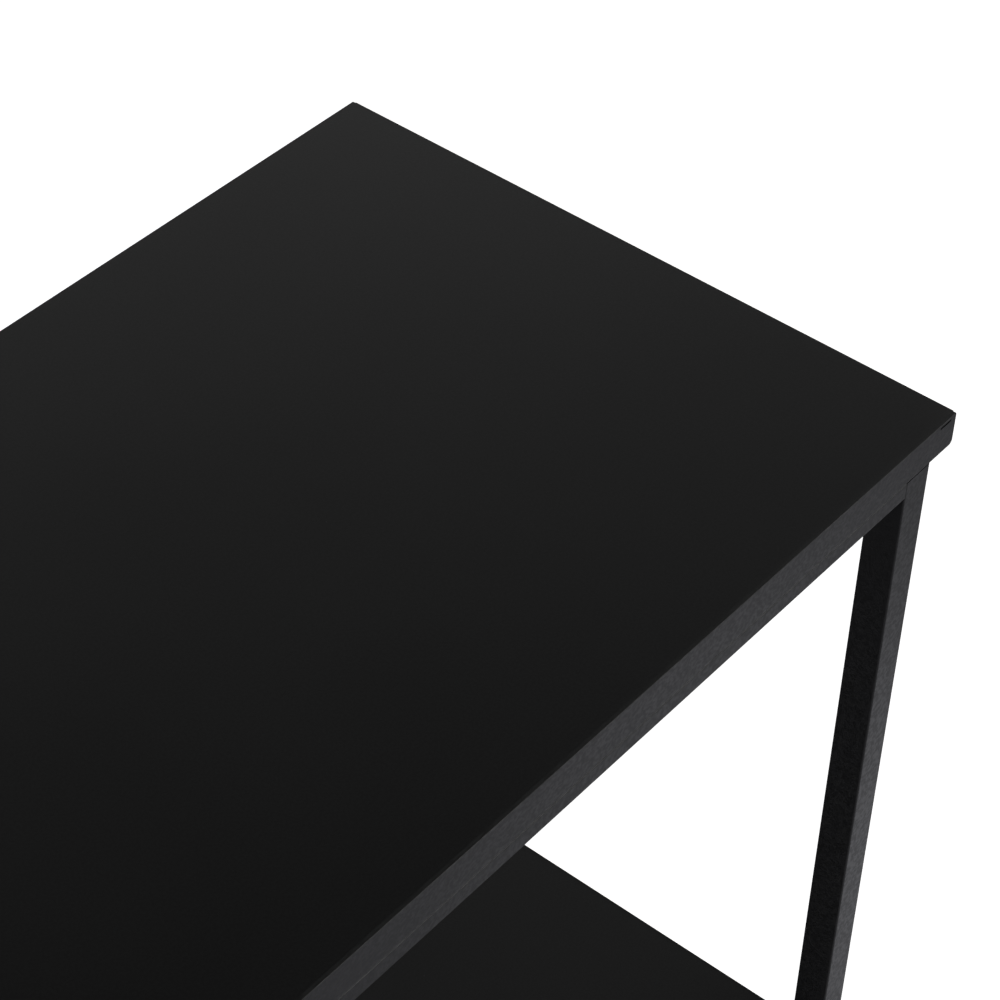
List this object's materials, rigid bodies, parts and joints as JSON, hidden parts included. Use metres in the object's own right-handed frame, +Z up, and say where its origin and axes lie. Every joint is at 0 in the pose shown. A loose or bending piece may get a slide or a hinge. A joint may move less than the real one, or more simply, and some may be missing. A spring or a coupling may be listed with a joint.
{
  "type": "folding side table",
  "caption": "Rectangular two-tier side table: flip-up board top and shelf on a square-tube frame whose bi-fold end stays let it fold flat.",
  "frame": {"origin": "on the floor, in the middle of the whole table in plan, hinge barrels included", "axes": "+X along the length of the table, +Y from the open front towards the hinged back, +Z up"},
  "size_m": [0.6, 0.3964, 0.58],
  "materials": {
    "laminate": "matt black melamine face on a board, very fine grain",
    "edge_band": "black edge band with a fine lengthwise grain",
    "frame_coat": "fine-texture matt black powder coat",
    "stay_steel": "matt black powder coat on flat strip",
    "hinge_steel": "black zinc plate, satin",
    "fastener_steel": "dark plated steel, satin",
    "plug_plastic": "black moulded plastic"
  },
  "bodies": {
    "rear_frame": {"rear_foot_left": "plug_plastic", "rear_foot_right": "plug_plastic", "rear_leg_left": "frame_coat", "rear_leg_plugs": "plug_plastic", "rear_leg_right": "frame_coat", "rear_rail_lower": "frame_coat", "rear_rail_upper": "frame_coat", "rear_stay_lugs": "frame_coat", "rear_stay_rivets": "fastener_steel", "shelf_hinge_frame_left": "hinge_steel", "shelf_hinge_frame_right": "hinge_steel", "shelf_hinge_pins": "hinge_steel", "shelf_hinge_rivets": "fastener_steel", "top_hinge_frame_left": "hinge_steel", "top_hinge_frame_right": "hinge_steel", "top_hinge_pins": "hinge_steel", "top_hinge_rivets": "fastener_steel"},
    "front_frame": {"front_foot_left": "plug_plastic", "front_foot_right": "plug_plastic", "front_leg_left": "frame_coat", "front_leg_plugs": "plug_plastic", "front_leg_right": "frame_coat", "front_rail_lower": "frame_coat", "front_rail_upper": "frame_coat", "front_stay_lugs": "frame_coat", "front_stay_rivets": "fastener_steel"},
    "top": {"top_band_back": "edge_band", "top_band_front": "edge_band", "top_band_left": "edge_band", "top_band_right": "edge_band", "top_hinge_board_left": "hinge_steel", "top_hinge_board_right": "hinge_steel", "top_hinge_screws": "fastener_steel", "top_panel": "laminate"},
    "shelf": {"shelf_band_back": "edge_band", "shelf_band_front": "edge_band", "shelf_band_left": "edge_band", "shelf_band_right": "edge_band", "shelf_hinge_board_left": "hinge_steel", "shelf_hinge_board_right": "hinge_steel", "shelf_hinge_screws": "fastener_steel", "shelf_panel": "laminate"},
    "stay_upper_left_rear": {"stay_upper_left_rear": "stay_steel", "stay_upper_left_rivet": "fastener_steel"},
    "stay_upper_left_front": {"stay_upper_left_front": "stay_steel"},
    "stay_upper_right_rear": {"stay_upper_right_rear": "stay_steel", "stay_upper_right_rivet": "fastener_steel"},
    "stay_upper_right_front": {"stay_upper_right_front": "stay_steel"},
    "stay_lower_left_rear": {"stay_lower_left_rear": "stay_steel", "stay_lower_left_rivet": "fastener_steel"},
    "stay_lower_left_front": {"stay_lower_left_front": "stay_steel"},
    "stay_lower_right_rear": {"stay_lower_right_rear": "stay_steel", "stay_lower_right_rivet": "fastener_steel"},
    "stay_lower_right_front": {"stay_lower_right_front": "stay_steel"}
  },
  "joints": [
    {"name": "fold", "type": "hinge", "parent": "rear_frame", "child": "stay_upper_right_rear", "pos_m": [0.249, 0.1618, 0.54545], "axis": [0, 0, -1], "range_deg": [0, 87]},
    {"name": "upper_right_middle_pivot", "type": "hinge", "parent": "stay_upper_right_rear", "child": "stay_upper_right_front", "pos_m": [0.249, -0.0032, 0.54265], "axis": [0, 0, -1], "range_deg": [-174, 0]},
    {"name": "front_frame_pivot", "type": "hinge", "parent": "stay_upper_right_front", "child": "front_frame", "pos_m": [0.249, -0.1682, 0.53985], "axis": [0, 0, -1], "range_deg": [0, 87]},
    {"name": "upper_left_rear_pivot", "type": "hinge", "parent": "rear_frame", "child": "stay_upper_left_rear", "pos_m": [-0.249, 0.1618, 0.54545], "axis": [0, 0, 1], "range_deg": [0, 87]},
    {"name": "upper_left_middle_pivot", "type": "hinge", "parent": "stay_upper_left_rear", "child": "stay_upper_left_front", "pos_m": [-0.249, -0.0032, 0.54265], "axis": [0, 0, 1], "range_deg": [-174, 0]},
    {"name": "lower_right_rear_pivot", "type": "hinge", "parent": "rear_frame", "child": "stay_lower_right_rear", "pos_m": [0.249, 0.1618, 0.09895], "axis": [0, 0, -1], "range_deg": [0, 87]},
    {"name": "lower_right_middle_pivot", "type": "hinge", "parent": "stay_lower_right_rear", "child": "stay_lower_right_front", "pos_m": [0.249, -0.0032, 0.09615], "axis": [0, 0, -1], "range_deg": [-174, 0]},
    {"name": "lower_left_rear_pivot", "type": "hinge", "parent": "rear_frame", "child": "stay_lower_left_rear", "pos_m": [-0.249, 0.1618, 0.09895], "axis": [0, 0, 1], "range_deg": [0, 87]},
    {"name": "lower_left_middle_pivot", "type": "hinge", "parent": "stay_lower_left_rear", "child": "stay_lower_left_front", "pos_m": [-0.249, -0.0032, 0.09615], "axis": [0, 0, 1], "range_deg": [-174, 0]},
    {"name": "top_flip", "type": "hinge", "parent": "rear_frame", "child": "top", "pos_m": [0, 0.1952, 0.56], "axis": [-1, 0, 0], "range_deg": [0, 90]},
    {"name": "shelf_flip", "type": "hinge", "parent": "rear_frame", "child": "shelf", "pos_m": [0, 0.1952, 0.1135], "axis": [-1, 0, 0], "range_deg": [0, 90]}
  ],
  "couplings": [
    {"joint": "upper_right_middle_pivot", "follows": "fold", "ratio": -2},
    {"joint": "front_frame_pivot", "follows": "fold", "ratio": 1},
    {"joint": "upper_left_rear_pivot", "follows": "fold", "ratio": 1},
    {"joint": "upper_left_middle_pivot", "follows": "fold", "ratio": -2},
    {"joint": "lower_right_rear_pivot", "follows": "fold", "ratio": 1},
    {"joint": "lower_right_middle_pivot", "follows": "fold", "ratio": -2},
    {"joint": "lower_left_rear_pivot", "follows": "fold", "ratio": 1},
    {"joint": "lower_left_middle_pivot", "follows": "fold", "ratio": -2}
  ]
}
